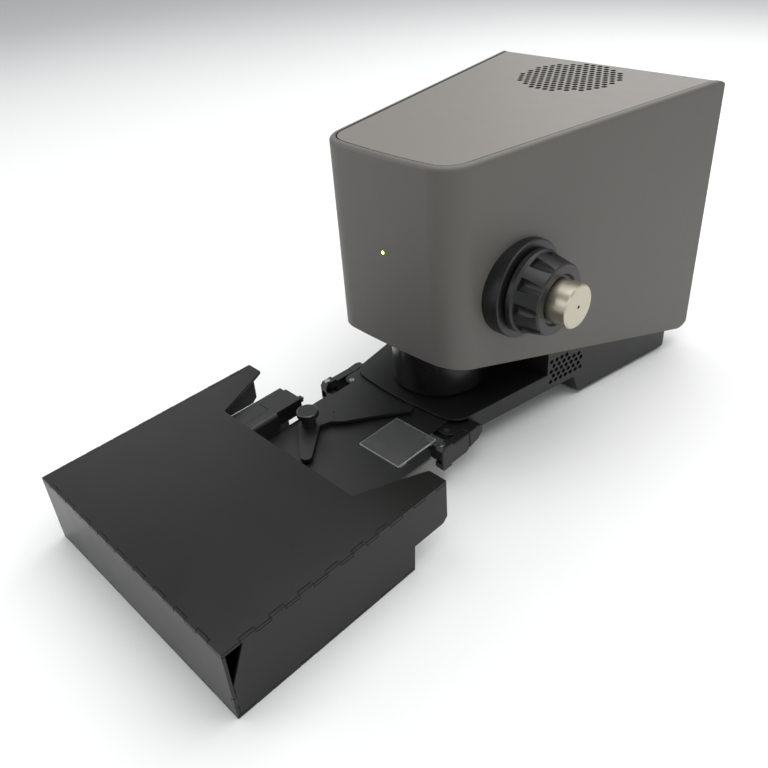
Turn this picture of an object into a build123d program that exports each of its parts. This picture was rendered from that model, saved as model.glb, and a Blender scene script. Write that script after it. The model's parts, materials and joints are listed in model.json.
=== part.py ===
"""Bench spectrophotometer with a motorised sample stage.

A grey instrument head overhangs a black base.  A dark nose hangs under the front of
the head and is raised and lowered by a coaxial coarse and fine knob, so that samples
on the stage can pass beneath it.  The stage docks on the front of the base and a
black acrylic cover slides over it.

Everything is built about the middle plane x = 0, with the front towards -Y and the
bench at z = 0.  The finished pieces are then shifted along X, so that the origin is
the centre of the bottom of the whole object's bounding box.
"""
from build123d import *
from math import pi, sqrt
import os

os.makedirs("parts", exist_ok=True)

# ---------------------------------------------------------------- driving dimensions
FRONT = -316.0                 # front face of the stage cover
REAR = 326.0                   # rear face of the head
HEAD_FRONT = -18.0             # middle of the head's bowed front face
HEAD_TOP = 295.5
HEAD_HALF = 77.6               # half width of the head at y = 0
SIDE_SLOPE = 0.166             # the head widens this much per side for each mm of depth
FRONT_BOW = 4.0                # how far the front face bows out at its middle
FRONT_CORNER = 30.0
REAR_CORNER = 5.0
UNDER_AT_ORIGIN = 106.0        # height of the head's sloping underside at y = 0
UNDER_SLOPE = 0.27             # it drops this much for each mm of depth
HEEL = 16.0                    # radius between the underside and the rear face
WALL = 3.0                     # head sheet
RIM = 5.5                      # rim between the outer face and the inset top plate
GAP = 0.3                      # free play between neighbouring pieces

BASE_INSET = 6.0               # the base is this far inside the head's sides
BASE_WALL = 2.5
BASE_FRONT = -10.5
BASE_REAR = 303.0
BASE_LOW = 4.5                 # underside of the rear block, on its feet
BASE_STEP = 27.0               # underside of the front part
DECK_TOP = 46.0
DECK_SHEET = 2.0
TOWER_FRONT = 112.0            # where the base rises from the deck to the head

PORT_Y = 50.0                  # optical axis of the measuring port
NOSE_R = 48.0
NOSE_BOTTOM = 47.5
PORT_R = 16.0
SPHERE_Z = 176.0
SPHERE_R = 43.0

KNOB_Y = 64.0                  # axis of the coarse and fine knobs, along X
KNOB_Z = 168.0
COLLAR_R = 45.8
COLLAR_FACE = 97.0
COARSE_FRONT = 129.0
FINE_FRONT = 147.7

COVER_HALF = 133.0             # stage cover, black acrylic sheet
COVER_TOP = 70.9
SHEET = 3.0
COVER_NOTCH = -155.0           # rear edge of the top sheet between the ears
COVER_EAR = -91.5              # rear end of the ears and side sheets
COVER_LOW_REAR = -133.0        # rear end of the floor sheet

TABLE_TOP = 43.2               # stage table, a 2 mm plate
TABLE_SHEET = 2.0
SAMPLE_X = 45.1
SAMPLE_Y = -60.0
SAMPLE_SIDE = 50.0
SAMPLE_SHEET = 2.0
ARM_X = -33.0                  # post that carries the swinging arm
ARM_Y = -100.0

VENT_Y = 257.0                 # cooling fan and its vent in the top plate
VENT_R = 53.0
VENT_PITCH = 8.0
VENT_HOLE_R = 2.9

ROW_SHIFT = -(FINE_FRONT - COVER_HALF) / 2    # centres the bounding box on x = 0
DEPTH_SHIFT = -(FRONT + REAR) / 2             # and on y = 0
WIDE = 400.0                                  # longer than anything it cuts

pieces = {}


def keep(name, part):
    """Move a finished piece into the row's frame and write its STEP file."""
    placed = Pos(ROW_SHIFT, DEPTH_SHIFT, 0) * part
    placed.label = name
    pieces[name] = placed
    export_step(placed, f"parts/{name}.step")


def head_half(y):
    """Half width of the head's outer face at a depth y."""
    return HEAD_HALF + SIDE_SLOPE * y


def underside(y):
    """Height of the head's sloping underside at a depth y."""
    return UNDER_AT_ORIGIN - UNDER_SLOPE * y


def wedge_plan(inset, front, rear, bow, front_corner, rear_corner):
    """Plan of the head and base: narrow bowed front, straight sides, wide rear."""
    side = inset * sqrt(1 + SIDE_SLOPE**2)
    near = head_half(front) - side
    far = head_half(rear) - side
    with BuildSketch() as plan:
        with BuildLine():
            ThreePointArc((-near, front + bow), (0, front), (near, front + bow))
            Line((near, front + bow), (far, rear))
            Line((far, rear), (-far, rear))
            Line((-far, rear), (-near, front + bow))
        make_face()
        fillet(plan.vertices().group_by(Axis.Y)[0], front_corner)
        fillet(plan.vertices().group_by(Axis.Y)[-1], rear_corner)
    return plan.sketch


def head_plan(inset):
    """Outline of the head, moved in by inset."""
    front_corner = max(FRONT_CORNER - inset, 6)
    rear_corner = max(REAR_CORNER - inset, 2)
    return wedge_plan(inset, HEAD_FRONT + inset, REAR - inset, FRONT_BOW, front_corner, rear_corner)


def base_plan(inset, front=BASE_FRONT, rear=BASE_REAR):
    """Outline of the base, moved in by inset."""
    return wedge_plan(BASE_INSET + inset, front + inset, rear - inset, 6.0, 20 - inset, 10 - inset)


def across(side_view):
    """A side view, drawn with local x along Y and local y along Z, made full width."""
    with BuildPart() as made:
        with BuildSketch(Plane.YZ.offset(-WIDE / 2)):
            add(side_view)
        extrude(amount=WIDE)
    return made.part


def head_profile(lift):
    """Side view of the head, its underside and heel moved in by lift."""
    near = HEAD_FRONT - 5
    back = REAR - lift
    with BuildSketch() as profile:
        with BuildLine():
            Polyline(
                (near, underside(near) + lift),
                (back, underside(back) + lift),
                (back, HEAD_TOP + 5),
                (near, HEAD_TOP + 5),
                close=True,
            )
        make_face()
        fillet(profile.vertices().group_by(Axis.Y)[0], HEEL - lift)
    return profile.sketch


def side_outline(*points):
    """Side view of a piece from its corner points, each a (y, z) pair."""
    with BuildSketch() as view:
        with BuildLine():
            Polyline(*points, close=True)
        make_face()
    return view.sketch


def hex_spots(pitch, reach, inside):
    """Centres of a hexagonal hole pattern, kept where inside(x, y) holds."""
    rows = int(reach / (pitch * sqrt(3) / 2)) + 1
    cols = int(reach / pitch) + 1
    spots = []
    for row in range(-rows, rows + 1):
        for col in range(-cols, cols + 1):
            x = (col + 0.5 * (row % 2)) * pitch
            y = row * pitch * sqrt(3) / 2
            if inside(x, y):
                spots.append((x, y))
    return spots


def block(x0, x1, y0, y1, z0, z1):
    """A plain block between two corners, for cuts and small fittings."""
    with BuildPart() as made:
        with BuildSketch(Plane.XY.offset(z0)):
            with Locations(((x0 + x1) / 2, (y0 + y1) / 2)):
                Rectangle(x1 - x0, y1 - y0)
        extrude(amount=z1 - z0)
    return made.part


def rod(plane, radius, length):
    """A plain cylinder that grows from a plane along its normal."""
    with BuildPart() as made:
        with BuildSketch(plane):
            Circle(radius)
        extrude(amount=length)
    return made.part


def along_x(x, y, z):
    """Plane at a point whose normal is +X."""
    return Plane(origin=(x, y, z), x_dir=(0, 1, 0), z_dir=(1, 0, 0))


def along_y(x, y, z):
    """Plane at a point whose normal is +Y, with local y along +Z."""
    return Plane(origin=(x, y, z), x_dir=(-1, 0, 0), z_dir=(0, 1, 0))


def along_z(x, y, z):
    """Plane at a point whose normal is +Z."""
    return Plane(origin=(x, y, z))


# ------------------------------------------------------------------------- head shell
LEDGE_LOW = 288.0              # ledge that carries the top plate
TOP_PLATE = 3.0
PLATE_TOP = HEAD_TOP - 0.4
PANEL_HALF = 62.0              # rear connector panel
PANEL_LOW = 96.0
PANEL_HIGH = 146.0
LED_X = -1.0
LED_Z = 207.0

LID_ROUND = 15.0               # the lid bends over the rear edge and a little way down
LID_DROP = 28.0
GROOVE = 1.5                   # groove between the lid and the head's rim


def lid_plan(inset):
    """Outline of the lid and its recess: the head's sides and front, open at the rear."""
    front_corner = max(FRONT_CORNER - inset, 6)
    return wedge_plan(inset, HEAD_FRONT + inset, REAR + 10, FRONT_BOW, front_corner, 1)


def under_lid(lift, low):
    """Side view of the space below the lid's outer face, moved in by lift."""
    near = HEAD_FRONT - 10
    with BuildSketch() as view:
        with BuildLine():
            Polyline(
                (near, low),
                (REAR - lift, low),
                (REAR - lift, PLATE_TOP - lift),
                (near, PLATE_TOP - lift),
                close=True,
            )
        make_face()
        corner = view.vertices().sort_by_distance((REAR, PLATE_TOP))[0]
        fillet(corner, LID_ROUND - lift)
    return view.sketch


with BuildPart() as lid_recess:
    add(lid_plan(RIM))
    extrude(amount=HEAD_TOP + 10)
    add(block(-WIDE, WIDE, HEAD_FRONT - 20, REAR + 20, 0, PLATE_TOP - LID_DROP), mode=Mode.SUBTRACT)
    add(across(under_lid(TOP_PLATE, PLATE_TOP - LID_DROP - 1)), mode=Mode.SUBTRACT)

with BuildPart() as lid_groove:
    add(lid_plan(RIM))
    extrude(amount=HEAD_TOP + 10)
    add(lid_plan(RIM + GROOVE))
    extrude(amount=HEAD_TOP + 10, mode=Mode.SUBTRACT)
    add(block(-WIDE, WIDE, HEAD_FRONT - 20, REAR + 20, 0, LEDGE_LOW + 1.5), mode=Mode.SUBTRACT)
    add(block(-WIDE, WIDE, REAR - 6, REAR + 20, 0, HEAD_TOP + 20), mode=Mode.SUBTRACT)

with BuildPart() as head_shell:
    add(head_plan(0))
    extrude(amount=HEAD_TOP)
    fillet(head_shell.faces().sort_by(Axis.Z)[-1].edges(), 4)
    add(across(under_lid(PLATE_TOP - HEAD_TOP, -10)), mode=Mode.INTERSECT)
    add(across(head_profile(0)), mode=Mode.INTERSECT)
    add(head_plan(WALL))
    extrude(amount=LEDGE_LOW, mode=Mode.SUBTRACT)
    with BuildSketch(Plane.XY.offset(LEDGE_LOW)):
        add(head_plan(14))
    extrude(amount=20, mode=Mode.SUBTRACT)
    add(lid_recess.part, mode=Mode.SUBTRACT)
    add(lid_groove.part, mode=Mode.SUBTRACT)
    add(rod(along_x(40, KNOB_Y, KNOB_Z), 28, 90), mode=Mode.SUBTRACT)
    add(rod(along_y(LED_X, HEAD_FRONT - 5, LED_Z), 1.6, 15), mode=Mode.SUBTRACT)
    panel_hole = block(-PANEL_HALF, PANEL_HALF, REAR - 10, REAR + 5, PANEL_LOW, PANEL_HIGH)
    add(panel_hole, mode=Mode.SUBTRACT)
keep("head_shell", head_shell.part)

vent_spots = hex_spots(VENT_PITCH, VENT_R, lambda x, y: x * x + y * y < (VENT_R - 2) ** 2)
with BuildPart() as top_plate:
    add(lid_plan(RIM + GROOVE))
    extrude(amount=HEAD_TOP + 10)
    add(across(under_lid(0, PLATE_TOP - LID_DROP + 0.5)), mode=Mode.INTERSECT)
    add(across(under_lid(TOP_PLATE, 0)), mode=Mode.SUBTRACT)
    with BuildSketch(Plane.XY.offset(PLATE_TOP - 10)):
        with Locations([(x, VENT_Y + y) for x, y in vent_spots]):
            Circle(VENT_HOLE_R)
    extrude(amount=20, mode=Mode.SUBTRACT)
keep("top_plate", top_plate.part)

with BuildPart() as head_floor:
    add(across(head_profile(0)))
    add(across(head_profile(WALL)), mode=Mode.SUBTRACT)
    add(head_plan(WALL + GAP))
    extrude(amount=HEAD_TOP - 20, mode=Mode.INTERSECT)
    add(rod(along_z(0, PORT_Y, 40), NOSE_R + 2.5, 120), mode=Mode.SUBTRACT)
    add(block(-40, 40, 215, 255, 0, 120), mode=Mode.SUBTRACT)
keep("head_floor", head_floor.part)

# ------------------------------------------------------------------------------- base
LIP_TOP = 40.5                 # top of the base's front wall, under the stage table
DECK_LOW = DECK_TOP - DECK_SHEET
SIDE_VENT_Y = 138.0            # vent in each side of the tower
SIDE_VENT_Z = 48.0
SIDE_VENT_PITCH = 7.0
SIDE_VENT_HOLE_R = 2.4

with BuildPart() as base_hollow:
    add(base_plan(BASE_WALL))
    extrude(amount=120)
    inside = side_outline(
        (BASE_FRONT, BASE_STEP + BASE_WALL),
        (151.6, BASE_STEP + BASE_WALL),
        (161.6, BASE_LOW + BASE_WALL),
        (BASE_REAR - BASE_WALL, BASE_LOW + BASE_WALL),
        (BASE_REAR - BASE_WALL, 130),
        (TOWER_FRONT + BASE_WALL, 130),
        (TOWER_FRONT + BASE_WALL, DECK_LOW + 0.1),
        (BASE_FRONT, DECK_LOW + 0.1),
    )
    add(across(inside), mode=Mode.INTERSECT)


def side_vents():
    """Rods that punch the hexagonal vent pattern through both sides of the tower."""
    spots = hex_spots(SIDE_VENT_PITCH, 40, lambda y, z: abs(z) < 16 and abs(y) < 23)
    with BuildPart() as punch:
        with BuildSketch(Plane.YZ.offset(60)):
            for y, z in spots:
                if SIDE_VENT_Z + z < underside(SIDE_VENT_Y + y) - 7:
                    with Locations((SIDE_VENT_Y + y, SIDE_VENT_Z + z)):
                        Circle(SIDE_VENT_HOLE_R)
        extrude(amount=80)
        mirror(about=Plane.YZ)
    return punch.part


with BuildPart() as base_housing:
    add(base_plan(0))
    extrude(amount=120)
    outside = side_outline(
        (BASE_FRONT - 5, BASE_STEP),
        (150, BASE_STEP),
        (160, BASE_LOW),
        (BASE_REAR, BASE_LOW),
        (BASE_REAR, 130),
        (TOWER_FRONT, 130),
        (TOWER_FRONT, DECK_LOW),
        (BASE_FRONT - 5, DECK_LOW),
    )
    add(across(outside), mode=Mode.INTERSECT)
    add(across(head_profile(0)), mode=Mode.SUBTRACT)
    add(base_hollow.part, mode=Mode.SUBTRACT)
    add(block(-72, 72, BASE_FRONT - 5, 14, LIP_TOP, DECK_LOW + 5), mode=Mode.SUBTRACT)
    add(side_vents(), mode=Mode.SUBTRACT)
keep("base_housing", base_housing.part)

with BuildPart() as deck_plate:
    with BuildSketch(Plane.XY.offset(DECK_LOW)):
        add(base_plan(0))
        with Locations((0, TOWER_FRONT - GAP + 200)):
            Rectangle(WIDE, 400, mode=Mode.SUBTRACT)
        with Locations((0, PORT_Y)):
            Circle(PORT_R + 5, mode=Mode.SUBTRACT)
    extrude(amount=DECK_SHEET)
keep("deck_plate", deck_plate.part)

LIP_HALF = 74.4
LIP_FRONT = -20.0
LIP_DEEP = 8.0
SCREW_X = 65.4
SCREW_Y = -14.5

with BuildPart() as front_lip:
    with BuildSketch(Plane.XY.offset(LIP_TOP - LIP_DEEP)) as lip_view:
        with Locations((0, (LIP_FRONT + 14) / 2)):
            Rectangle(2 * LIP_HALF, 14 - LIP_FRONT)
        fillet(lip_view.vertices().group_by(Axis.Y)[0], 9)
        add(base_plan(-0.05), mode=Mode.SUBTRACT)
    extrude(amount=LIP_DEEP)
    for side in (-1, 1):
        screw_hole = rod(along_z(side * SCREW_X, SCREW_Y, LIP_TOP - 6), 2.6, 10)
        add(screw_hole, mode=Mode.SUBTRACT)
keep("front_lip", front_lip.part)

with BuildPart() as lip_screws:
    for side in (-1, 1):
        with BuildSketch(Plane.XY.offset(LIP_TOP - 6)):
            with Locations((side * SCREW_X, SCREW_Y)):
                Circle(2.5)
                RegularPolygon(1.2, 6, mode=Mode.SUBTRACT)
        extrude(amount=5.8)
keep("lip_screws", lip_screws.part)

# ------------------------------------------------------------- electronics, head rear
PANEL_SET = Pos(0, REAR - 316, 0)     # the connectors below are drawn for a rear face at y = 316

with BuildPart() as rear_panel:
    add(block(-PANEL_HALF + GAP, PANEL_HALF - GAP, 312.9, 315, PANEL_LOW + GAP, PANEL_HIGH - GAP))
    add(block(-51.6, -24.4, 300, 320, 110.9, 131.1), mode=Mode.SUBTRACT)
    add(block(-5.1, 15.1, 300, 320, 105.9, 136.1), mode=Mode.SUBTRACT)
    add(block(34.9, 47.1, 300, 320, 115.4, 126.6), mode=Mode.SUBTRACT)
keep("rear_panel", PANEL_SET * rear_panel.part)

with BuildPart() as power_inlet:
    add(block(-51.5, -24.5, 290, 315, 111, 131))
    add(block(-53.5, -22.5, 315, 316, 109, 133))
    add(block(-50, -26, 297, 320, 112.5, 129.5), mode=Mode.SUBTRACT)
    for pin_x, pin_z in ((-45, 119.5), (-38, 123.5), (-31, 119.5)):
        add(block(pin_x - 1, pin_x + 1, 290, 313, pin_z - 1, pin_z + 4))
keep("power_inlet", PANEL_SET * power_inlet.part)

with BuildPart() as usb_port:
    add(block(35, 47, 298, 315.4, 115.5, 126.5))
    add(block(36.8, 45.2, 303, 320, 117, 125), mode=Mode.SUBTRACT)
keep("usb_port", PANEL_SET * usb_port.part)

ROCKER_Y = 311.0
ROCKER_Z = 121.0
ROCKER_TILT = 7.0
with BuildPart() as switch_body:
    add(block(-5, 15, 294, 315, 106, 136))
    add(block(-7, 17, 315, 316, 104, 138))
    add(block(-2.6, 12.6, 300, 320, 108.4, 133.6), mode=Mode.SUBTRACT)
keep("switch_body", PANEL_SET * switch_body.part)

with BuildPart() as rocker_blank:
    rocker_view = side_outline(
        (ROCKER_Y - 5, ROCKER_Z - 6),
        (ROCKER_Y + 1.8, ROCKER_Z - 11.6),
        (ROCKER_Y + 3.4, ROCKER_Z - 11.6),
        (ROCKER_Y + 2, ROCKER_Z),
        (ROCKER_Y + 3.4, ROCKER_Z + 11.6),
        (ROCKER_Y + 1.8, ROCKER_Z + 11.6),
        (ROCKER_Y - 5, ROCKER_Z + 6),
    )
    add(across(rocker_view))
    add(block(-2.2, 12.2, 290, 330, 100, 140), mode=Mode.INTERSECT)
rocker_pivot = Pos(0, ROCKER_Y, ROCKER_Z)
switch_rocker = rocker_pivot * Rot(ROCKER_TILT, 0, 0) * rocker_pivot.inverse() * rocker_blank.part
keep("switch_rocker", PANEL_SET * switch_rocker)

with BuildPart() as status_light:
    add(rod(along_y(LED_X, HEAD_FRONT - 0.2, LED_Z), 1.5, 12))
    add(rod(along_y(LED_X, HEAD_FRONT + WALL + 0.3, LED_Z), 3.0, 8))
keep("status_light", status_light.part)

BOARD_Z = 112.0
board_posts_spots = [(-70, 160), (70, 160), (-70, 268), (70, 268)]
with BuildPart() as board_posts:
    for x, y in board_posts_spots:
        add(rod(along_z(x, y, underside(y) + 4.5), 3.5, BOARD_Z - underside(y) - 4.5))
keep("board_posts", board_posts.part)

with BuildPart() as main_board:
    add(block(-78, 78, 152, 288, BOARD_Z, BOARD_Z + 1.6))
    add(block(-60, -30, 170, 200, BOARD_Z + 1.6, BOARD_Z + 5))
    add(block(-10, 30, 220, 262, BOARD_Z + 1.6, BOARD_Z + 7))
    add(block(45, 70, 175, 195, BOARD_Z + 1.6, BOARD_Z + 14))
keep("main_board", main_board.part)

with BuildPart() as spectrometer:
    add(block(-72, -12, 154, 214, 130, 168))
    add(rod(along_y(-42, 142, 149), 4, 14))
    add(block(-68, -62, 158, 164, BOARD_Z + 1.6, 130))
    add(block(-22, -16, 204, 210, BOARD_Z + 1.6, 130))
    add(block(-68, -62, 204, 210, BOARD_Z + 1.6, 130))
    add(block(-22, -16, 158, 164, BOARD_Z + 1.6, 130))
keep("spectrometer", spectrometer.part)

with BuildPart() as power_supply:
    add(block(-95, -48, 180, 290, BASE_LOW + BASE_WALL, 24))
keep("power_supply", power_supply.part)

with BuildPart() as source_module:
    add(rod(along_z(0, PORT_Y, BASE_STEP + BASE_WALL), 24, 6))
    add(rod(along_z(0, PORT_Y, BASE_STEP + BASE_WALL), 19, 10.3))
    add(rod(along_z(0, PORT_Y, 38), 13, 10), mode=Mode.SUBTRACT)
    add(rod(along_z(0, PORT_Y, 38), 9, 1.5))
keep("source_module", source_module.part)

# --------------------------------------------------------------------------- cooling fan
FAN_HALF = 43.0
FAN_LOW = 267.0
FAN_HIGH = PLATE_TOP - TOP_PLATE
with BuildPart() as fan_frame:
    with BuildSketch(Plane.XY.offset(FAN_LOW)):
        with Locations((0, VENT_Y)):
            RectangleRounded(2 * FAN_HALF, 2 * FAN_HALF, 4)
            Circle(40.5, mode=Mode.SUBTRACT)
            with GridLocations(72, 72, 2, 2):
                Circle(2.2, mode=Mode.SUBTRACT)
    extrude(amount=FAN_HIGH - FAN_LOW)
    with BuildSketch(Plane.XY.offset(FAN_LOW)):
        with Locations((0, VENT_Y)):
            Circle(15)
            with PolarLocations(28, 3):
                Rectangle(28, 5)
            Circle(2.5, mode=Mode.SUBTRACT)
    extrude(amount=3)
keep("fan_frame", fan_frame.part)

FAN_BLADES = 7
with BuildPart() as fan_rotor:
    with BuildSketch(Plane.XY.offset(FAN_LOW + 3.4)):
        with Locations((0, VENT_Y)):
            Circle(16)
    extrude(amount=19)
    with BuildSketch(Plane.XY.offset(FAN_LOW + 0.2)):
        with Locations((0, VENT_Y)):
            Circle(2.44)
    extrude(amount=4)
blade_blank = Box(24, 26, 1.4, mode=Mode.PRIVATE)
fan_blades = [
    Pos(0, VENT_Y, FAN_LOW + 12.8) * Rot(0, 0, turn * 360 / FAN_BLADES) * Pos(26.5, 0, 0)
    * Rot(32, 0, 0) * blade_blank
    for turn in range(FAN_BLADES)
]
keep("fan_rotor", fan_rotor.part + fan_blades)

# ------------------------------------------------------- chassis, rail and knob collar
PLATE_X = 66.0                 # inner face of the upright chassis plate
PLATE_THICK = 4.0
RAIL_X = 58.0
BUSH_R = 12.0
SLEEVE_R = 6.5
FINE_SHAFT_R = 4.0
RUN = 0.06                     # radial clearance of a running fit

with BuildPart() as head_block:
    add(head_plan(0))
    extrude(amount=HEAD_TOP)

with BuildPart() as chassis_plate:
    plate_view = side_outline(
        (24, underside(24) + 3.4),
        (148, underside(148) + 3.4),
        (148, 262),
        (40, 262),
        (24, 246),
    )
    add(across(plate_view))
    add(block(PLATE_X, PLATE_X + PLATE_THICK, 0, 200, 0, 300), mode=Mode.INTERSECT)
    add(rod(along_x(50, KNOB_Y, KNOB_Z), BUSH_R, 40), mode=Mode.SUBTRACT)
keep("chassis_plate", chassis_plate.part)

with BuildPart() as slide_rail:
    add(block(RAIL_X, PLATE_X, 86, 98, 124, 258))
    add(block(RAIL_X + 2.5, RAIL_X + 5.5, 85, 87, 124, 258), mode=Mode.SUBTRACT)
    add(block(RAIL_X + 2.5, RAIL_X + 5.5, 97, 99, 124, 258), mode=Mode.SUBTRACT)
keep("slide_rail", slide_rail.part)

with BuildPart() as shaft_bush:
    add(rod(along_x(PLATE_X - 3, KNOB_Y, KNOB_Z), BUSH_R, PLATE_THICK + 3))
    add(rod(along_x(PLATE_X - 10, KNOB_Y, KNOB_Z), SLEEVE_R + RUN, 30), mode=Mode.SUBTRACT)
keep("shaft_bush", shaft_bush.part)

with BuildPart() as knob_collar:
    add(rod(along_x(60, KNOB_Y, KNOB_Z), COLLAR_R, COLLAR_FACE - 60))
    fillet(knob_collar.faces().sort_by(Axis.X)[-1].edges(), 1.6)
    add(head_block.part, mode=Mode.SUBTRACT)
    add(rod(along_x(PLATE_X + PLATE_THICK, KNOB_Y, KNOB_Z), 27.6, 22))
    add(rod(along_x(60, KNOB_Y, KNOB_Z), 20, 30), mode=Mode.SUBTRACT)
    add(rod(along_x(60, KNOB_Y, KNOB_Z), SLEEVE_R + RUN, 50), mode=Mode.SUBTRACT)
keep("knob_collar", knob_collar.part)

# ------------------------------------------------------------------ coaxial focus knobs
COARSE_REAR = COLLAR_FACE + 1.5
COARSE_REAR_R = 39.0
COARSE_FRONT_R = 33.0
COARSE_GROOVES = 10
knob_axis = Axis((0, KNOB_Y, KNOB_Z), (1, 0, 0))

with BuildPart() as coarse_knob:
    with BuildSketch(Plane(origin=(0, KNOB_Y, KNOB_Z), x_dir=(1, 0, 0), z_dir=(0, -1, 0))):
        with BuildLine():
            Polyline(
                (COARSE_REAR, SLEEVE_R),
                (COARSE_REAR, COARSE_REAR_R - 1.5),
                (COARSE_REAR + 1.5, COARSE_REAR_R),
                (COARSE_REAR + 6, COARSE_REAR_R),
                (COARSE_REAR + 8, COARSE_REAR_R - 1.6),
                (COARSE_FRONT - 1.5, COARSE_FRONT_R),
                (COARSE_FRONT, COARSE_FRONT_R - 1.5),
                (COARSE_FRONT, 24),
                (COARSE_FRONT - 2.5, 22),
                (COARSE_FRONT - 2.5, SLEEVE_R),
                close=True,
            )
        make_face()
    revolve(axis=knob_axis)
    groove_start = COARSE_REAR + 9
    with BuildSketch(along_x(groove_start, KNOB_Y, KNOB_Z)):
        with PolarLocations(COARSE_FRONT_R + 5.5, COARSE_GROOVES):
            Circle(6.2)
    extrude(amount=40, mode=Mode.SUBTRACT)
keep("coarse_knob", coarse_knob.part)

PINION_TEETH = 12
PITCH_R = 9.0
TOOTH_STEP = 2 * pi * PITCH_R / PINION_TEETH
TOOTH_DEPTH_OUT = 1.3
TOOTH_DEPTH_IN = 1.9
PINION_X = 50.0
PINION_WIDE = 7.0


def tooth(tip_half, root_half, low, high):
    """One tooth, drawn upwards from low to high, narrower at its tip."""
    with BuildSketch() as shape:
        with BuildLine():
            Polyline(
                (-root_half, low),
                (root_half, low),
                (tip_half, high),
                (-tip_half, high),
                close=True,
            )
        make_face()
    return shape.sketch


with BuildPart() as pinion_shaft:
    with BuildSketch(along_x(PINION_X, KNOB_Y, KNOB_Z)):
        Circle(PITCH_R - TOOTH_DEPTH_IN)
        for turn in range(PINION_TEETH):
            with Locations(Rot(0, 0, turn * 360 / PINION_TEETH)):
                add(tooth(0.45, 1.05, PITCH_R - TOOTH_DEPTH_IN - 0.4, PITCH_R + TOOTH_DEPTH_OUT))
    extrude(amount=PINION_WIDE)
    add(rod(along_x(PINION_X - 2, KNOB_Y, KNOB_Z), SLEEVE_R, COARSE_FRONT - 2.5 - PINION_X + 2))
    add(rod(along_x(0, KNOB_Y, KNOB_Z), FINE_SHAFT_R + RUN, 200), mode=Mode.SUBTRACT)
keep("pinion_shaft", pinion_shaft.part)

FINE_R = 20.0
with BuildPart() as fine_knob:
    with BuildSketch(along_x(COARSE_FRONT - 1.8, KNOB_Y, KNOB_Z)):
        Circle(FINE_R)
    extrude(amount=FINE_FRONT - COARSE_FRONT + 1.8)
    chamfer(fine_knob.faces().sort_by(Axis.X)[-1].edges(), 1.2)
    add(rod(along_x(COARSE_FRONT - 10, KNOB_Y, KNOB_Z), FINE_SHAFT_R, 22), mode=Mode.SUBTRACT)
    add(rod(along_x(FINE_FRONT - 8, KNOB_Y, KNOB_Z), 1.6, 20), mode=Mode.SUBTRACT)
keep("fine_knob", fine_knob.part)

with BuildPart() as fine_shaft:
    add(rod(along_x(PINION_X - 5, KNOB_Y, KNOB_Z), FINE_SHAFT_R, COARSE_FRONT + 12 - PINION_X + 5))
keep("fine_shaft", fine_shaft.part)

# ---------------------------------------------------------- lift carriage, sphere, nose
CARRIAGE_FRONT = 81.0
CARRIAGE_LOW = 128.0
RING_THICK = 6.0
RACK_LOW = 136.0
RACK_TEETH = 10

with BuildPart() as lift_carriage:
    add(block(48, RAIL_X + 7.4, CARRIAGE_FRONT, 103, CARRIAGE_LOW, 200))
    add(block(RAIL_X - 0.2, PLATE_X + 5, 85.8, 98.2, 100, 300), mode=Mode.SUBTRACT)
keep("lift_carriage", lift_carriage.part)

with BuildPart() as rack:
    rack_root = KNOB_Y + PITCH_R + TOOTH_DEPTH_IN
    add(block(PINION_X - 0.4, PINION_X + PINION_WIDE + 0.4, rack_root, CARRIAGE_FRONT, RACK_LOW, 184))
    for step in range(RACK_TEETH):
        tooth_z = KNOB_Z + (step - RACK_TEETH + 3.5) * TOOTH_STEP
        with BuildSketch(Plane.YZ.offset(PINION_X - 0.4)):
            with Locations(Location((KNOB_Y + 2 * PITCH_R, tooth_z), 90)):
                add(tooth(0.45, 1.05, PITCH_R - TOOTH_DEPTH_IN - 0.2, PITCH_R + TOOTH_DEPTH_OUT))
        extrude(amount=PINION_WIDE + 0.8)
keep("rack", rack.part)

with BuildPart() as sphere_bracket:
    with BuildSketch(Plane.XY.offset(CARRIAGE_LOW - RING_THICK)) as bracket_view:
        with Locations((0, PORT_Y)):
            Circle(NOSE_R)
        with Locations((36, 94.5)):
            Rectangle(43, 17)
        with Locations((0, PORT_Y)):
            Circle(18, mode=Mode.SUBTRACT)
    extrude(amount=RING_THICK)
keep("sphere_bracket", sphere_bracket.part)

with BuildPart() as nose_shroud:
    add(rod(along_z(0, PORT_Y, NOSE_BOTTOM), NOSE_R, CARRIAGE_LOW - RING_THICK - NOSE_BOTTOM))
    fillet(nose_shroud.faces().sort_by(Axis.Z)[0].edges(), 1.5)
    add(rod(along_z(0, PORT_Y, NOSE_BOTTOM + 3), NOSE_R - 3, 100), mode=Mode.SUBTRACT)
    add(rod(along_z(0, PORT_Y, 0), PORT_R + 3.5, 100), mode=Mode.SUBTRACT)
keep("nose_shroud", nose_shroud.part)

with BuildPart() as port_tube:
    add(rod(along_z(0, PORT_Y, NOSE_BOTTOM + 0.5), PORT_R + 3.4, CARRIAGE_LOW - RING_THICK - NOSE_BOTTOM - 0.5))
    add(rod(along_z(0, PORT_Y, 0), PORT_R, 200), mode=Mode.SUBTRACT)
keep("port_tube", port_tube.part)


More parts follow.
